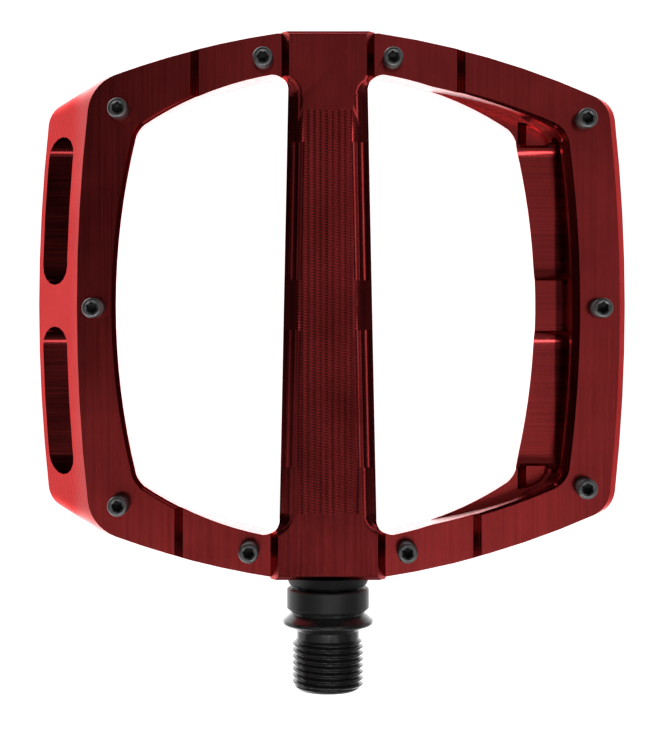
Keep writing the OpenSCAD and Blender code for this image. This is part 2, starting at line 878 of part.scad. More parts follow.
module bearing_cage() {
    half = ball_r + cage_rim;
    inner = inner_land_r + cage_clear;
    outer = outer_land_r - cage_clear;
    color(bronze)
        difference() {
            turned([
                [inner, bearing_mid - half], [outer, bearing_mid - half],
                [outer, bearing_mid + half], [inner, bearing_mid + half]
            ]);
            ball_places()
                rotate([0, 90, 0])
                    cylinder(r = ball_r + ball_clear, h = 2 * ball_r, center = true, $fn = 48);
        }
}

module shield(from) {
    inner = inner_land_r + cage_clear;
    color(bearing_steel)
        turned([
            [inner, from], [shield_r, from], [shield_r, from + shield_t], [inner, from + shield_t]
        ]);
}

module bearing_inboard_shield() { shield(bearing_start); }
module bearing_outboard_shield() { shield(bearing_end - shield_t); }

module lock_washer() {
    color(bearing_steel)
        turned([
            [seat_r, bearing_end], [inner_land_r, bearing_end],
            [inner_land_r, nut_start], [seat_r, nut_start]
        ]);
}

module lock_nut() {
    color(bearing_steel)
        difference() {
            translate([0, nut_start, 0])
                rotate([-90, 0, 0])
                    cylinder(d = nut_hex / cos(30), h = nut_t, $fn = 6);
            along_spindle(seat_r, nut_start - over, spindle_end + over);
        }
}

module end_cap() {
    c = cap_bevel;
    r = cap_d / 2;
    groove_r = r - o_ring_section;
    groove_start = cap_end - 2 * o_ring_section;
    groove_end = cap_end - o_ring_section;
    color(black_oxide)
        difference() {
            turned([
                [0, cap_start], [r - c, cap_start], [r, cap_start + c], [r, groove_start],
                [groove_r, groove_start], [groove_r, groove_end], [r, groove_end],
                [r, cap_end - c], [r - c, cap_end], [0, cap_end]
            ]);
            translate([0, cap_end - cap_hex_depth, 0])
                rotate([-90, 0, 0])
                    cylinder(d = cap_hex / cos(30), h = cap_hex_depth + over, $fn = 6);
        }
}

module end_cap_o_ring() {
    r = o_ring_section / 2;
    color(seal_black)
        translate([0, cap_end - 3 * r, 0])
            rotate([-90, 0, 0])
                rotate_extrude()
                    translate([cap_d / 2 - r, 0])
                        circle(r - eps, $fn = 48);
}

pedal_body();
upper_corner_pins();
upper_side_pins();
upper_end_pins();
lower_corner_pins();
lower_side_pins();
lower_end_pins();
spindle();
dust_sleeve();
inboard_seal();
plain_bushing();
bearing_outer_race();
bearing_inner_race();
bearing_balls();
bearing_cage();
bearing_inboard_shield();
bearing_outboard_shield();
lock_washer();
lock_nut();
end_cap();
end_cap_o_ring();
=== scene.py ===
"""Looks of a flat bicycle pedal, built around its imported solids.

Sizes are in millimetres in the row's frame and become metres when a mesh is made.
"""

import math

import bmesh
import bpy
from mathutils import Matrix, Vector


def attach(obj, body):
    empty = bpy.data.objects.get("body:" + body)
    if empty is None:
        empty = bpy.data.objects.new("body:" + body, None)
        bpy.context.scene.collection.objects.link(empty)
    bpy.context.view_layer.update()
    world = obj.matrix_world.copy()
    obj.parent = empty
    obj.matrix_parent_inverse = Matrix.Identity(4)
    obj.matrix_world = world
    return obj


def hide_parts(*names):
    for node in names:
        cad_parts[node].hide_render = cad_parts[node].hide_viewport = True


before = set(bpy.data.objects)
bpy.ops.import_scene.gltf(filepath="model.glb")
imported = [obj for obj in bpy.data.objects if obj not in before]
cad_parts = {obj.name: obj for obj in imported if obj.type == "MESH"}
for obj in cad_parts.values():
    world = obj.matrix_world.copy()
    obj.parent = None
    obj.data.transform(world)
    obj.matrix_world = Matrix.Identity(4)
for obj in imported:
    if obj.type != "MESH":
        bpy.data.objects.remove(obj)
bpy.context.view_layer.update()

MM = 0.001

# Platform: its middle and length along the spindle, heights of its side and end rails
MID_Y, BODY_LEN = 64.55, 109.1
RAIL_H, END_RAIL_H = 7.0, 5.5

# Spine: its height, its half width at the middle and how far a side leans over its length
SPINE_H, SPINE_HALF, SPINE_LEAN = 8.25, 8.8, 2.2
TAPER = math.atan(SPINE_LEAN / BODY_LEN)

# Passes of the ball-nosed tool along the spine: count, width, ends from the middle, depth
PASSES, PASS_W = 10, 1.22
PASS_LOW, PASS_HIGH, PASS_SAG = -41.3, 38.8, 0.045
STRIP_HALF = PASS_W * PASSES / 2

# Wider passes along its shoulders: edges as distance from the spine's side and height, depth
# of a pass, and stretches from the middle
SHOULDER_EDGES = ((-3.6, 8.25), (-2.35, 7.98), (-1.1, 7.46), (0.45, 6.36))
SHOULDER_SAG = 0.1
SHOULDER_STRETCHES = ((-32.3, -5.0), (4.9, 32.3))

# Height of the slots through the side rails
SLOT_H = 7.7


# Mesh making

# Rounded corners: the share of a side that one may take, the least turn and the least cut
CORNER_ROOM, LEAST_TURN, LEAST_CUT = 0.45, 0.02, 1e-4


def new_object(name, bm, material, sharp_deg=32):
    """Turns a bmesh in millimetres into a shown object with smooth shading and sharp edges."""
    bmesh.ops.scale(bm, vec=(MM, MM, MM), verts=bm.verts)
    bmesh.ops.recalc_face_normals(bm, faces=bm.faces)
    mesh = bpy.data.meshes.new(name)
    bm.to_mesh(mesh)
    bm.free()
    return show_mesh(name, mesh, material, sharp_deg)


def show_mesh(name, mesh, material, sharp_deg):
    mesh.materials.clear()
    mesh.materials.append(material)
    mesh.shade_smooth()
    mesh.set_sharp_from_angle(angle=math.radians(sharp_deg))
    obj = bpy.data.objects.new(name, mesh)
    bpy.context.scene.collection.objects.link(obj)
    return obj


def weight_normals(obj):
    """Keeps large flat faces flat beside their rounded edges."""
    mod = obj.modifiers.new("flat faces", "WEIGHTED_NORMAL")
    mod.keep_sharp = True
    mod.weight = 80


def fillet(points, radius, steps=4, closed=False):
    """Rounds the corners of a profile; a corner that is too short for the radius gets less."""
    count = len(points)
    made = []
    for i, p in enumerate(points):
        if not closed and i in (0, count - 1):
            made.append(p)
            continue
        p = Vector(p)
        a = Vector(points[i - 1]) - p
        b = Vector(points[(i + 1) % count]) - p
        room = CORNER_ROOM * min(a.length, b.length)
        a.normalize()
        b.normalize()
        half = 0.5 * a.angle(b)
        cut = min(radius / math.tan(half), room)
        if math.pi - 2 * half < LEAST_TURN or cut < LEAST_CUT:
            made.append(tuple(p))
            continue
        r = cut * math.tan(half)
        mid = p + (a + b).normalized() * (r / math.sin(half))
        u = (p + a * cut - mid) / r
        v = (p + b * cut - mid) / r
        turn = math.atan2(u.x * v.y - u.y * v.x, u.dot(v))
        for k in range(steps + 1):
            t = turn * k / steps
            made.append((
                mid.x + r * (u.x * math.cos(t) - u.y * math.sin(t)),
                mid.y + r * (u.x * math.sin(t) + u.y * math.cos(t)),
            ))
    return made


def hex_radius(flats, angle):
    """Radius of a hexagon of that width across flats, in a direction."""
    part = (angle + math.pi / 6) % (math.pi / 3) - math.pi / 6
    return flats / 2 / math.cos(part)


def ring(bm, radius, place, count, axis="Y"):
    """Vertices round an axis; the radius is a number or a function of the angle."""
    made = []
    for i in range(count):
        a = 2 * math.pi * i / count
        r = radius(a) if callable(radius) else radius
        u, v = r * math.cos(a), r * math.sin(a)
        made.append(bm.verts.new((u, place, v) if axis == "Y" else (u, v, place)))
    return made


def bridge(bm, lower, upper):
    count = len(lower)
    for i in range(count):
        j = (i + 1) % count
        bm.faces.new((lower[i], lower[j], upper[j], upper[i]))


def fan(bm, loop, point):
    tip = bm.verts.new(point)
    for i in range(len(loop)):
        bm.faces.new((loop[i], loop[(i + 1) % len(loop)], tip))


def turned_ring(name, profile, material, count=128):
    """A closed profile of radius and distance, turned about the spindle axis."""
    bm = bmesh.new()
    rings = [ring(bm, r, y, count) for r, y in profile]
    for i in range(len(rings)):
        bridge(bm, rings[i - 1], rings[i])
    return new_object(name, bm, material)


# Materials


def node(tree, kind, inputs=None, **settings):
    made = tree.nodes.new(kind)
    for key, value in settings.items():
        setattr(made, key, value)
    for key, value in (inputs or {}).items():
        if isinstance(value, bpy.types.NodeSocket):
            tree.links.new(value, made.inputs[key])
        else:
            made.inputs[key].default_value = value
    return made


def calc(tree, operation, *values, clamp=False):
    inputs = {i: v for i, v in enumerate(values)}
    return node(tree, "ShaderNodeMath", inputs, operation=operation, use_clamp=clamp).outputs[0]


def times(tree, *values):
    """The product of two or more values."""
    made = values[0]
    for value in values[1:]:
        made = calc(tree, "MULTIPLY", made, value)
    return made


def plus(tree, *values):
    """The sum of two or more values."""
    made = values[0]
    for value in values[1:]:
        made = calc(tree, "ADD", made, value)
    return made


def size_of(tree, value):
    """The value without its sign."""
    return calc(tree, "ABSOLUTE", value)


def ramp(tree, value, low, high, out_low=0.0, out_high=1.0):
    """Maps a value's range smoothly onto another one and stops at its ends."""
    return node(
        tree, "ShaderNodeMapRange",
        {"Value": value, "From Min": low, "From Max": high, "To Min": out_low, "To Max": out_high},
        interpolation_type="SMOOTHSTEP",
    ).outputs[0]


def stretch(tree, value, rise, fall):
    """One from the end of the rise to the start of the fall, with soft ends."""
    return times(tree, ramp(tree, value, *rise), ramp(tree, value, *fall, 1.0, 0.0))


def blend_values(tree, share, a, b):
    made = node(tree, "ShaderNodeMix", {0: share, 2: a, 3: b}, data_type="FLOAT")
    return made.outputs[0]


def noise(tree, place, scale, detail=2.0, rough=0.5):
    """Noise in 0 to 1 on a place in millimetres, with its own scale along each axis."""
    spread = node(tree, "ShaderNodeVectorMath", {0: place, 1: scale}, operation="MULTIPLY")
    return node(
        tree, "ShaderNodeTexNoise",
        {"Vector": spread.outputs[0], "Scale": 1.0, "Detail": detail, "Roughness": rough},
    ).outputs["Fac"]


def start_material(name):
    """A new material: its tree, shader, place in millimetres and surface direction."""
    material = bpy.data.materials.new(name)
    material.use_nodes = True
    tree = material.node_tree
    shader = tree.nodes["Principled BSDF"]
    coords = node(tree, "ShaderNodeTexCoord")
    place = node(
        tree, "ShaderNodeVectorMath", {0: coords.outputs["Object"], "Scale": 1 / MM},
        operation="SCALE",
    ).outputs[0]
    return material, tree, shader, place, coords.outputs["Normal"]


def bump(tree, shader, height, depth_mm):
    made = node(
        tree, "ShaderNodeBump", {"Height": height, "Strength": 1.0, "Distance": depth_mm * MM}
    )
    tree.links.new(made.outputs[0], shader.inputs["Normal"])


def tint(tree, shader, share, dark, light):
    made = node(
        tree, "ShaderNodeMix", {0: share, 6: (*dark, 1), 7: (*light, 1)}, data_type="RGBA"
    )
    tree.links.new(made.outputs[2], shader.inputs["Base Color"])


# Anodised red: pitches of the tool's marks, shift from pass to pass, depth of all marks, and
# how far below the spine's top the feed marks reach
WALL_PITCH, FEED_PITCH, FEED_SHIFT, MARK_DEPTH, FEED_REACH = 0.5, 0.58, 2.3, 0.012, 0.1

# Heights between which the milled lines turn from across the spindle to along it
LINES_TURN = (4.2, 5.0)

# Its two tones, the share of the full one, and what is taken off that share where shade is painted
RED_DARK, RED_FULL = (0.08, 0.0075, 0.008), (0.74, 0.069, 0.071)
RED_LEAST, RED_SPREAD = 0.636, 0.364
# Painted shade on the spine's top, in the slots and on the windows' end walls
SPINE_SHADE, SLOT_SHADE, END_WALL_SHADE = (0.14, 0.42), (0.74, 0.48), 0.62

# Where the slots' painted shade sets in, aside from the axis, and fades, away from the middle
SLOT_FROM, SLOT_FADE, SLOT_MARGIN = (46.2, 46.8), (34, 36), 0.12


def feed_marks(tree, x, y, off_mid, high):
    """Feed marks of the ball-nosed tool, a wave in each pass along the spine."""
    pass_no = calc(tree, "FLOOR", calc(tree, "DIVIDE", x, PASS_W))
    phase = times(tree, pass_no, FEED_SHIFT)
    wave = calc(tree, "SINE", calc(tree, "MULTIPLY_ADD", y, 2 * math.pi / FEED_PITCH, phase))
    in_strip = times(
        tree,
        calc(tree, "LESS_THAN", size_of(tree, x), STRIP_HALF),
        calc(tree, "GREATER_THAN", off_mid, PASS_LOW),
        calc(tree, "LESS_THAN", off_mid, PASS_HIGH),
        calc(tree, "GREATER_THAN", high, SPINE_H - FEED_REACH),
    )
    strength = ramp(tree, off_mid, -30, 35, 0.5, 0.85)
    return times(tree, wave, strength, in_strip)


def slot_share(tree, aside, far_off, high, facing_x):
    """One inside a slot, on faces that don't look to the side; there shade is painted."""
    return times(
        tree,
        ramp(tree, aside, *SLOT_FROM),
        ramp(tree, far_off, *SLOT_FADE, 1.0, 0.0),
        calc(tree, "LESS_THAN", high, SLOT_H / 2 + SLOT_MARGIN),
        calc(tree, "LESS_THAN", size_of(tree, facing_x), 0.3),
    )


def end_wall_share(tree, aside, high, level, inward):
    """One at mid height on the windows' end walls, out towards the side rails; there shade is
    painted and the surface is smoother.
    """
    return times(
        tree,
        ramp(tree, high, 1.0, 4.4, 1.0, 0.0),
        ramp(tree, level, 0.0, 0.3, 1.0, 0.0),
        inward,
        stretch(tree, aside, (12, 32), (45, 47)),
    )


def anodised_red():
    material, tree, shader, place, facing = start_material("anodised red")
    x, y, z = node(tree, "ShaderNodeSeparateXYZ", {0: place}).outputs
    facing_x, facing_y, facing_z = node(tree, "ShaderNodeSeparateXYZ", {0: facing}).outputs
    aside, high = size_of(tree, x), size_of(tree, z)
    off_mid = calc(tree, "SUBTRACT", y, MID_Y)
    far_off = size_of(tree, off_mid)
    level = ramp(tree, size_of(tree, facing_z), 0.93, 0.995)
    inward = calc(tree, "LESS_THAN", times(tree, facing_y, off_mid), 0.0)

    # Milled faces: long fine lines along the spindle, across it on the ledges
    along = plus(
        tree,
        times(tree, noise(tree, place, (1.7, 0.03, 0.4)), 0.6),
        times(tree, noise(tree, place, (6.0, 0.08, 0.4)), 0.4),
    )
    across = noise(tree, place, (0.05, 3.2, 0.4), 3.0)
    flat_lines = blend_values(tree, ramp(tree, high, *LINES_TURN), across, along)

    # Walls: passes of the tool one above the other, deeper at the corners
    wander = times(tree, noise(tree, place, (0.2, 0.05, 0.6)), 2.5)
    passes = calc(tree, "SINE", plus(tree, times(tree, z, 2 * math.pi / WALL_PITCH), wander))
    passes = times(tree, passes, ramp(tree, far_off, 15, 42, 0.22, 1.0))
    lines = blend_values(tree, level, times(tree, passes, 0.8), flat_lines)
    marks = feed_marks(tree, x, y, off_mid, high)
    bump(tree, shader, plus(tree, lines, marks), MARK_DEPTH)

    # Tone: streaks along the lines, clouds and grain
    cloud = noise(tree, place, (0.09, 0.09, 0.09), 3.0)
    grain = noise(tree, place, (7.0, 0.5, 3.0))
    wall_streak = calc(tree, "MULTIPLY_ADD", passes, 0.35, 0.5)
    streak = blend_values(tree, level, wall_streak, flat_lines)
    tone = calc(tree, "MULTIPLY_ADD", grain, 0.8, times(tree, cloud, 1.4))
    tone = calc(
        tree, "MULTIPLY_ADD", streak, 2.0, calc(tree, "SUBTRACT", tone, 1.6), clamp=True
    )
    tone = calc(tree, "MULTIPLY_ADD", tone, RED_SPREAD, RED_LEAST)

    # Painted shade: a darker tone along the spine's top, growing towards the inboard end, in the
    # slots and on the windows' end walls
    in_slot = slot_share(tree, aside, far_off, high, facing_x)
    end_wall = end_wall_share(tree, aside, high, level, inward)
    spine_shade = times(
        tree, ramp(tree, high, 7.3, 7.6), ramp(tree, off_mid, 35, -25, *SPINE_SHADE)
    )
    slot_shade = times(tree, in_slot, ramp(tree, times(tree, x, z), -1, 1, *SLOT_SHADE))
    painted_shade = calc(tree, "MAXIMUM", spine_shade, slot_shade)
    painted_shade = calc(tree, "MAXIMUM", painted_shade, times(tree, end_wall, END_WALL_SHADE))
    tint(tree, shader, calc(tree, "SUBTRACT", tone, painted_shade), RED_DARK, RED_FULL)

    rough = calc(tree, "MULTIPLY_ADD", cloud, 0.06, 0.09)
    rough = calc(tree, "MULTIPLY_ADD", flat_lines, 0.12, rough)
    rough = times(tree, rough, ramp(tree, end_wall, 0.0, 1.0, 1.0, 0.4))
    tree.links.new(rough, shader.inputs["Roughness"])

    # The outer walls stay red at a shallow angle
    edge = ramp(tree, aside, 48, 52, 1.0, 0.45)
    edge_tint = node(tree, "ShaderNodeCombineColor", {0: 1.0, 1: edge, 2: edge}).outputs[0]
    tree.links.new(edge_tint, shader.inputs["Specular Tint"])
    shader.inputs["Metallic"].default_value = 1.0
    shader.inputs["Coat Weight"].default_value = 0.04
    shader.inputs["Coat Roughness"].default_value = 0.12
    shader.inputs["Coat IOR"].default_value = 1.5
    return material


def dark_steel(name, dark, light, rough, axis_lines, metal):
    """Blackened steel: turned lines round an axis, a mottled tone and faint specks."""
    material, tree, shader, place, _ = start_material(name)
    turned = noise(tree, place, axis_lines, 3.0)
    cloud = noise(tree, place, (0.35, 0.35, 0.35), 4.0, 0.6)
    fine = noise(tree, place, (9.0, 9.0, 9.0), 3.0, 0.7)
    tone = calc(tree, "MULTIPLY_ADD", fine, 0.25, times(tree, cloud, 0.7))
    tint(tree, shader, tone, dark, light)
    value = calc(tree, "MULTIPLY_ADD", turned, 0.1, rough - 0.12)
    value = calc(tree, "MULTIPLY_ADD", cloud, 0.14, value)
    tree.links.new(value, shader.inputs["Roughness"])
    bump(tree, shader, calc(tree, "MULTIPLY_ADD", fine, 0.4, turned), 0.006)
    shader.inputs["Metallic"].default_value = metal
    return material


def soft_black(name, tone, rough, grain_scale, depth_mm):
    """A matt black, such as plastic, rubber or oxide, with a fine grain."""
    material, tree, shader, place, _ = start_material(name)
    grain = noise(tree, place, (grain_scale,) * 3, 4.0, 0.65)
    cloud = noise(tree, place, (0.4, 0.4, 0.4), 3.0)
    tint(tree, shader, cloud, [0.7 * v for v in tone], [1.3 * v for v in tone])
    value = calc(tree, "MULTIPLY_ADD", grain, 0.18, rough - 0.09)
    tree.links.new(value, shader.inputs["Roughness"])
    bump(tree, shader, grain, depth_mm)
    return material


def bright_metal(name, dark, light, rough):
    """Ground or plated metal with lines round the spindle axis."""
    material, tree, shader, place, _ = start_material(name)
    turned = noise(tree, place, (0.3, 9.0, 0.3), 3.0)
    cloud = noise(tree, place, (0.6, 0.6, 0.6), 3.0)
    tone = calc(tree, "MULTIPLY_ADD", turned, 0.5, times(tree, cloud, 0.5))
    tint(tree, shader, tone, dark, light)
    value = calc(tree, "MULTIPLY_ADD", turned, 0.15, rough - 0.07)
    tree.links.new(value, shader.inputs["Roughness"])
    bump(tree, shader, turned, 0.003)
    shader.inputs["Metallic"].default_value = 1.0
    return material


RED = anodised_red()
PIN_BLACK = soft_black(
    "black oxide", (0.035, 0.035, 0.036), rough=0.6, grain_scale=6.0, depth_mm=0.01
)
# Pins' tops: a lighter copy of the black oxide as painted highlight; the darker PIN_BLACK on their
# sides is the oxide's own black and painted shade
PIN_LIT_TOP = dark_steel(
    "black oxide, painted highlight", (0.11, 0.11, 0.112), (0.3, 0.3, 0.305),
    rough=0.34, axis_lines=(2.0, 2.0, 5.0), metal=0.7,
)
SPINDLE_BLACK = dark_steel(
    "black spindle steel", (0.03, 0.03, 0.03), (0.085, 0.085, 0.086),
    rough=0.28, axis_lines=(0.4, 7.0, 0.4), metal=0.35,
)
SLEEVE_BLACK = soft_black(
    "matt black sleeve", (0.04, 0.04, 0.04), rough=0.42, grain_scale=5.0, depth_mm=0.008
)
RUBBER = soft_black(
    "black rubber", (0.010, 0.010, 0.010), rough=0.62, grain_scale=7.0, depth_mm=0.01
)
CAP_BLACK = dark_steel(
    "black end cap", (0.015, 0.015, 0.016), (0.04, 0.04, 0.042),
    rough=0.36, axis_lines=(0.5, 8.0, 0.5), metal=0.5,
)
STEEL = bright_metal("ground steel", (0.42, 0.43, 0.45), (0.62, 0.63, 0.65), rough=0.28)
POLISHED = bright_metal("polished steel", (0.60, 0.60, 0.62), (0.75, 0.75, 0.77), rough=0.12)
PLATED = bright_metal("zinc plate", (0.40, 0.40, 0.38), (0.60, 0.60, 0.58), rough=0.35)
BRONZE = bright_metal("bronze", (0.38, 0.25, 0.11), (0.52, 0.36, 0.17), rough=0.4)


# Platform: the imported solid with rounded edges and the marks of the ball-nosed tool

# Clean-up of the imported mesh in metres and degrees, then rounding of edges over an angle
MERGE_DIST, FLAT_ANGLE = 1e-7, 0.4
EDGE_ROUND, EDGE_ANGLE = 0.16, 38

# How far the cutters stand over the spine's top and out from its side, and at which height
CUT_ABOVE, CUT_OUT, CUT_OUT_H = 1, 3, 7.2


def sagged(a, b, sag, steps=8):
    """Points from a to b along an arc that hangs below their chord, without the last one."""
    a, b = Vector(a), Vector(b)
    chord = b - a
    r = (chord.length_squared / 4 + sag * sag) / (2 * sag)
    down = Vector((chord.y, -chord.x)).normalized()
    mid = (a + b) / 2 - down * (r - sag)
    half = math.asin(chord.length / 2 / r)
    along = chord.normalized()
    made = []
    for k in range(steps):
        t = half * (2 * k / steps - 1)
        p = mid + r * (along * math.sin(t) + down * math.cos(t))
        made.append((p.x, p.y))
    return made


def prism(bm, section, low, high, turn=0.0):
    """A solid along the spindle with that section, turned about the platform's middle."""
    ends = [[bm.verts.new((x, MID_Y + y, z)) for x, z in section] for y in (low, high)]
    count = len(section)
    for i in range(count):
        j = (i + 1) % count
        bm.faces.new((ends[0][i], ends[0][j], ends[1][j], ends[1][i]))
    bm.faces.new(ends[0])
    bm.faces.new(ends[1])
    bmesh.ops.rotate(
        bm, verts=ends[0] + ends[1], cent=(0, MID_Y, 0), matrix=Matrix.Rotation(turn, 3, "Z")
    )


def both_faces(name, bm):
    """A cutter for the upper face together with its copy turned over for the lower one."""
    other = bmesh.ops.duplicate(bm, geom=bm.verts[:] + bm.edges[:] + bm.faces[:])
    bmesh.ops.rotate(
        bm, verts=[v for v in other["geom"] if isinstance(v, bmesh.types.BMVert)],
        cent=(0, 0, 0), matrix=Matrix.Rotation(math.pi, 3, "Y"),
    )
    return new_object(name, bm, RED)


def strip_cutter():
    """The passes of a ball-nosed tool along the spine's flat top."""
    top = SPINE_H + CUT_ABOVE
    edges = [(i * PASS_W - STRIP_HALF, SPINE_H) for i in range(PASSES + 1)]
    strip = []
    for start, stop in zip(edges, edges[1:]):
        strip += sagged(start, stop, PASS_SAG)
    strip += [(STRIP_HALF, SPINE_H), (STRIP_HALF, top), (-STRIP_HALF, top)]
    bm = bmesh.new()
    prism(bm, strip, PASS_LOW, PASS_HIGH)
    return both_faces("strip_cutter", bm)


def shoulder_cutter():
    """Wider passes along each of the spine's shoulders, in two stretches."""
    top = SPINE_H + CUT_ABOVE
    half = SPINE_HALF * math.cos(TAPER)
    edges = [(half + x, z) for x, z in SHOULDER_EDGES]
    groove = []
    for start, stop in zip(edges, edges[1:]):
        groove += sagged(start, stop, SHOULDER_SAG)
    groove += [edges[-1], (half + CUT_OUT, CUT_OUT_H), (half + CUT_OUT, top), (edges[0][0], top)]
    bm = bmesh.new()
    for side in (-1, 1):
        for low, high in SHOULDER_STRETCHES:
            prism(bm, [(side * x, z) for x, z in groove], low, high, side * TAPER)
    return both_faces("shoulder_cutter", bm)


def applied_mesh(obj):
    """The object's mesh with its modifiers carried out."""
    shown = obj.evaluated_get(bpy.context.evaluated_depsgraph_get())
    return bpy.data.meshes.new_from_object(shown)


def make_platform():
    bm = bmesh.new()
    bm.from_mesh(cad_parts["pedal_body"].data)
    bmesh.ops.remove_doubles(bm, verts=bm.verts, dist=MERGE_DIST)
    bmesh.ops.dissolve_limit(
        bm, angle_limit=math.radians(FLAT_ANGLE), verts=bm.verts, edges=bm.edges,
        use_dissolve_boundaries=False,
    )
    bmesh.ops.scale(bm, vec=(1 / MM,) * 3, verts=bm.verts)
    rough = new_object("platform_rough", bm, RED)
    edges = rough.modifiers.new("edges", "BEVEL")
    edges.width = EDGE_ROUND * MM
    edges.segments = 2
    edges.limit_method = "ANGLE"
    edges.angle_limit = math.radians(EDGE_ANGLE)
    edges.use_clamp_overlap = True
    edges.harden_normals = False
    cutters = [shoulder_cutter(), strip_cutter()]
    for cutter in cutters:
        cut = rough.modifiers.new(cutter.name, "BOOLEAN")
        cut.operation = "DIFFERENCE"
        cut.object = cutter
        cut.solver = "EXACT"
    obj = show_mesh("platform", applied_mesh(rough), RED, sharp_deg=30)
    weight_normals(obj)
    for made in (rough, *cutters):
        bpy.data.objects.remove(made)
    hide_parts("pedal_body")
    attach(obj, "platform")


make_platform()


# Traction pins: set screws with a dished top and a hexagon socket

PIN_R, PIN_GRIP, PIN_PROUD = 2.0, 3.9, 5.2
PIN_FOOT_R, PIN_BEVEL, PIN_ROUND = 0.6, 0.45, 0.05

# Socket: width across flats, where it starts and ends below the top, and its drilled tip
PIN_HEX, PIN_MOUTH, PIN_HEX_DEPTH, PIN_DRILL = 2.0, 0.14, 2.2, 0.5

# Depth of the top that gets a lighter black oxide, a painted highlight, and the turn from one pin
# to the next
PIN_LIT_DEPTH, PIN_TURN = 0.3, 0.9

# Radius of the top's rings and how far each lies below the pin's end
PIN_TOP = ((PIN_R, 0.36), (PIN_R - 0.2, 0.085), (1.42, 0.0), (1.2, 0.06))

# Places of the pins from the platform's middle
CORNERS = [(-41.401, -39.45), (51.0, -36.05), (-41.401, 38.85), (51.0, 36.85)]
SIDES = [(-46.401, -0.45), (54.0, -0.45)]
ENDS = [(-12.9, 49.1), (-15.7, -48.85), (12.9, 49.1), (15.7, -48.85)]


def pin_mesh(bm, count=48):
    """One pin with its face at z = 0, returned as its vertices."""
    start = len(bm.verts)
    foot, top = -PIN_GRIP, PIN_PROUD
    profile = [(PIN_FOOT_R, foot), (PIN_R - PIN_BEVEL, foot), (PIN_R, foot + PIN_BEVEL)]
    profile += [(r, top - depth) for r, depth in PIN_TOP]
    loops = [ring(bm, r, z, count, "Z") for r, z in fillet(profile, PIN_ROUND, 2)]
    for z in (top - PIN_MOUTH, top - PIN_HEX_DEPTH):
        loops.append(ring(bm, lambda a: hex_radius(PIN_HEX, a), z, count, "Z"))
    for lower, upper in zip(loops, loops[1:]):
        bridge(bm, lower, upper)
    fan(bm, loops[0], (0, 0, foot))
    fan(bm, loops[-1], (0, 0, top - PIN_HEX_DEPTH - PIN_DRILL))
    bm.verts.ensure_lookup_table()
    return bm.verts[start:]


def make_pins(node_name, places, face, turn):
    bm = bmesh.new()
    flip = Matrix.Rotation(math.pi, 4, "Y") if node_name.startswith("lower") else Matrix()
    for i, (x, y) in enumerate(places):
        verts = pin_mesh(bm)
        spin = Matrix.Rotation(turn + PIN_TURN * i, 4, "Z")
        move = flip @ Matrix.Translation((x, MID_Y + y, face)) @ spin
        bmesh.ops.transform(bm, matrix=move, verts=verts)
    obj = new_object(node_name + "_shown", bm, PIN_BLACK, sharp_deg=35)
    obj.data.materials.append(PIN_LIT_TOP)
    # Faces near the top take the lighter copy, a painted highlight; the rest keep the darker black
    # oxide, also painted shade on the sides
    for polygon in obj.data.polygons:
        if abs(polygon.center.z) > (face + PIN_PROUD - PIN_LIT_DEPTH) * MM:
            polygon.material_index = 1
    weight_normals(obj)
    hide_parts(node_name)
    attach(obj, "platform")


for side_up in ("upper", "lower"):
    make_pins(side_up + "_corner_pins", CORNERS, RAIL_H, turn=0.3)
    make_pins(side_up + "_side_pins", SIDES, RAIL_H, turn=0.1)
    make_pins(side_up + "_end_pins", ENDS, END_RAIL_H, turn=0.5)


# Spindle with a left-hand thread

# Thread: radii, pitch, rings in a pitch, and its crest and flanks as shares of half a pitch
THREAD_R, ROOT_R, PITCH, PITCH_STEPS = 7.14, 6.42, 1.27, 18
CREST, FLANK = 0.16, 0.66

# Its bevelled tip, where its first ring lies behind that, and the neck at its other end
TIP_Y, TIP_R, TIP_BEVEL, TIP_GAP = -13.1, 6.0, 1.1, 0.03
NECK_Y, NECK_R = -2.8, 6.3

# Hexagon socket: width across flats, drilled tip, and where its flats end and start
SOCKET_FLATS, SOCKET_DRILL, SOCKET_ENDS = 8.0, 11, (9, 0.55)

# Radius of the rings round its mouth and how far each lies behind the tip
MOUTH_RINGS = ((4.66, 0.1), (4.78, 0), (TIP_R - 0.06, 0))

# Radius and distance along the spindle, from the neck over the flange to the thin end, and
# the rounding of its corners
SPINDLE_PROFILE = (
    (NECK_R, NECK_Y), (NECK_R, -1.14), (7.44, 0.0), (8.8, 0.0), (9.1, 0.3), (9.1, 0.9),
    (7.5, 2.3), (7.5, 2.9), (6.0, 2.9), (6.0, 35.0), (4.0, 88.1), (4.0, 104.1),
    (3.0, 104.1), (3.0, 113.0), (2.5, 113.5),
)
SPINDLE_ROUND = 0.18


def thread_radius(angle, y):
    """Radius of the thread at an angle about the spindle and a distance along it."""
    turn = (y / PITCH - angle / (2 * math.pi)) % 1.0
    off_crest = abs(turn - 0.5) * 2
    depth = min(max((off_crest - CREST) / FLANK, 0.0), 1.0)
    tip_r = TIP_R + (y - TIP_Y) * (THREAD_R - TIP_R) / TIP_BEVEL
    end_r = NECK_R + max(NECK_Y - y, 0.0)
    return min(THREAD_R - depth * (THREAD_R - ROOT_R), tip_r, end_r)


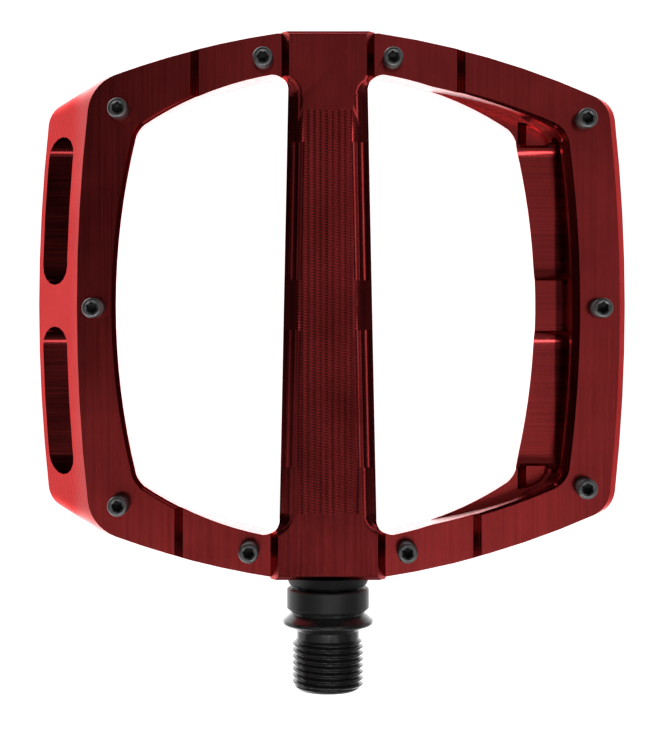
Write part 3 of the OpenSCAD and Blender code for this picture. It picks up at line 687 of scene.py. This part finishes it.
def make_spindle(count=144):
    bm = bmesh.new()
    socket = lambda a: hex_radius(SOCKET_FLATS, a)
    loops = [ring(bm, socket, TIP_Y + depth, count) for depth in SOCKET_ENDS]
    loops += [ring(bm, r, TIP_Y + depth, count) for r, depth in MOUTH_RINGS]
    steps = int((NECK_Y - TIP_Y) / PITCH * PITCH_STEPS)
    start = TIP_Y + TIP_GAP
    for k in range(1, steps):
        y = start + (NECK_Y - start) * k / steps
        loops.append(ring(bm, lambda a, y=y: thread_radius(a, y), y, count))
    profile = fillet(SPINDLE_PROFILE, SPINDLE_ROUND, 3)
    loops += [ring(bm, r, y, count) for r, y in profile]
    for lower, upper in zip(loops, loops[1:]):
        bridge(bm, lower, upper)
    fan(bm, loops[0], (0, TIP_Y + SOCKET_DRILL, 0))
    fan(bm, loops[-1], (0, profile[-1][1], 0))
    obj = new_object("spindle_shown", bm, SPINDLE_BLACK, sharp_deg=40)
    weight_normals(obj)
    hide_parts("spindle")
    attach(obj, "spindle")


make_spindle()


# Turned trim round the spindle


def make_trim(node_name, profile, radius, material, body):
    obj = turned_ring(node_name + "_shown", fillet(profile, radius, 4, closed=True), material)
    weight_normals(obj)
    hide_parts(node_name)
    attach(obj, body)


make_trim(
    "dust_sleeve",
    [(6.0, 2.9), (7.8, 2.9), (8.3, 3.4), (8.3, 7.15), (8.05, 7.4), (6.0, 7.4)],
    0.2, SLEEVE_BLACK, "spindle",
)
make_trim(
    "inboard_seal",
    [(6.03, 7.9), (7.5, 7.9), (7.75, 8.15), (8.6, 9.9), (8.6, 10.0), (7.4, 10.0),
     (7.4, 13.0), (6.03, 13.0)],
    0.12, RUBBER, "platform",
)

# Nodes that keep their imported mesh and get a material
CARRIED_OVER = {
    "plain_bushing": BRONZE, "bearing_outer_race": STEEL, "bearing_inner_race": STEEL,
    "bearing_balls": POLISHED, "bearing_cage": BRONZE, "bearing_inboard_shield": STEEL,
    "bearing_outboard_shield": STEEL, "lock_washer": PLATED, "lock_nut": PLATED,
    "end_cap": CAP_BLACK, "end_cap_o_ring": RUBBER,
}
for node_name, material in CARRIED_OVER.items():
    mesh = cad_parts[node_name].data
    mesh.materials.clear()
    mesh.materials.append(material)


# Stage, light and camera

FLOOR_Z, FLOOR_HALF = -12.25, 1500
FLOOR_TONE = (0.8, 0.8, 0.8, 1)
WHITE = (1, 1, 1, 1)
CAMERA_X, CAMERA_Y, CAMERA_Z = -0.4, MID_Y - 0.47, 370
CAMERA_LENS, CAMERA_SHIFT = 89.95, (0.00685, -0.0781)
CORNER_LIGHT, PANEL_LIGHT = 1.2, 4.0


# The light from each direction. A ramp's numbers are the direction's range, then the light or
# the share of it at the range's two ends.


def ground_light(tree, left, near, down, away):
    """Brighter to the left, a little at the front, straight below and at the left corners."""
    sides = ramp(tree, left, -0.2, 0.9, 0.58, 1.05)
    front = ramp(tree, near, 0.3, 0.9, 0.0, 0.05)
    below = ramp(tree, down, 0.6, 0.98, 0.0, 1.7)
    corner = times(tree, ramp(tree, left, 0.1, 0.5), ramp(tree, away, 0.3, 0.65))
    return calc(tree, "MULTIPLY_ADD", corner, CORNER_LIGHT, plus(tree, sides, front, below))


def ceiling_light(tree, x, y, z, near, aside, away):
    """Dim, darkest to the left and near the horizon, with lighter places and side bands."""
    base = plus(tree, ramp(tree, x, -0.145, 0.0, 0.012, 0.15), ramp(tree, x, 0.0, 0.15, 0.0, 0.01))
    base = times(tree, base, ramp(tree, x, 0.2, 0.3, 1.0, 0.3))
    inboard = times(
        tree,
        ramp(tree, near, 0.0, 0.12, 0.0, 0.2),
        ramp(tree, aside, 0.015, 0.055, 0.1, 1.0),
        ramp(tree, near, 0.3, 0.6, 1.0, 0.1),
        ramp(tree, x, 0.03, 0.06, 1.0, 2.0),
        ramp(tree, x, 0.085, 0.14, 1.0, 0.12),
    )
    right = times(
        tree,
        ramp(tree, x, 0.05, 0.12, 0.0, 0.1),
        ramp(tree, away, 0.02, 0.1, 1.0, 0.0),
        ramp(tree, x, 0.2, 0.3, 1.0, 0.0),
    )
    bands = times(
        tree,
        stretch(tree, aside, (0.38, 0.44), (0.48, 0.56)),
        ramp(tree, x, -0.1, 0.1, 0.22, 1.2),
    )
    outboard = times(
        tree,
        ramp(tree, y, 0.08, 0.13, 0.0, 0.07),
        stretch(tree, x, (-0.1, -0.06), (0.06, 0.11)),
    )
    return times(
        tree,
        plus(tree, base, bands, inboard, right, outboard),
        ramp(tree, z, 0.05, 0.6, 0.1, 1.0),
        ramp(tree, y, 0.2, 0.5, 1.0, 0.6),
    )


def panel_share(tree, z, near, aside):
    """One on a bright panel over the spindle's end."""
    return times(
        tree,
        stretch(tree, near, (0.32, 0.37), (0.46, 0.53)),
        ramp(tree, z, 0.4, 0.6),
        ramp(tree, aside, 0.2, 0.4, 1.0, 0.0),
    )


def make_world():
    """A pale ground all round, a dim ceiling and one bright panel; white to the camera."""
    world = bpy.data.worlds.new("studio")
    bpy.context.scene.world = world
    world.use_nodes = True
    tree = world.node_tree
    way = node(tree, "ShaderNodeTexCoord").outputs["Generated"]
    x, y, z = node(tree, "ShaderNodeSeparateXYZ", {0: way}).outputs
    left, near, down = (times(tree, v, -1.0) for v in (x, y, z))
    aside, away = (size_of(tree, v) for v in (x, y))

    ground = ground_light(tree, left, near, down, away)
    ceiling = ceiling_light(tree, x, y, z, near, aside, away)
    panel = panel_share(tree, z, near, aside)
    ceiling = calc(tree, "MULTIPLY_ADD", panel, PANEL_LIGHT, ceiling)
    total = blend_values(tree, ramp(tree, z, -0.2, -0.02), ground, ceiling)

    light = node(tree, "ShaderNodeBackground", {"Color": WHITE, "Strength": total})
    white = node(tree, "ShaderNodeBackground", {"Color": WHITE, "Strength": 1.0})
    seen = node(tree, "ShaderNodeLightPath").outputs["Is Camera Ray"]
    both = node(tree, "ShaderNodeMixShader", {0: seen, 1: light.outputs[0], 2: white.outputs[0]})
    tree.links.new(both.outputs[0], tree.nodes["World Output"].inputs["Surface"])


def make_floor():
    """A plain pale floor under the lower pins, lit evenly."""
    bm = bmesh.new()
    bmesh.ops.create_grid(bm, x_segments=2, y_segments=2, size=FLOOR_HALF)
    bmesh.ops.translate(bm, verts=bm.verts, vec=(0, MID_Y, FLOOR_Z))
    material = bpy.data.materials.new("pale floor")
    material.use_nodes = True
    shader = material.node_tree.nodes["Principled BSDF"]
    shader.inputs["Base Color"].default_value = FLOOR_TONE
    shader.inputs["Roughness"].default_value = 0.9
    shader.inputs["Emission Color"].default_value = WHITE
    shader.inputs["Emission Strength"].default_value = 1.0
    floor = new_object("floor", bm, material)
    floor.visible_glossy = False
    floor.visible_diffuse = False


def make_camera():
    """Straight above the platform, at the photograph's distance and framing."""
    data = bpy.data.cameras.new("camera")
    data.sensor_width = 36
    data.lens = CAMERA_LENS
    data.shift_x, data.shift_y = CAMERA_SHIFT
    data.clip_start = 0.01
    obj = bpy.data.objects.new("camera", data)
    obj.location = (CAMERA_X * MM, CAMERA_Y * MM, CAMERA_Z * MM)
    bpy.context.scene.collection.objects.link(obj)
    bpy.context.scene.camera = obj


make_world()
make_floor()
make_camera()
bpy.context.scene.view_settings.view_transform = "Standard"
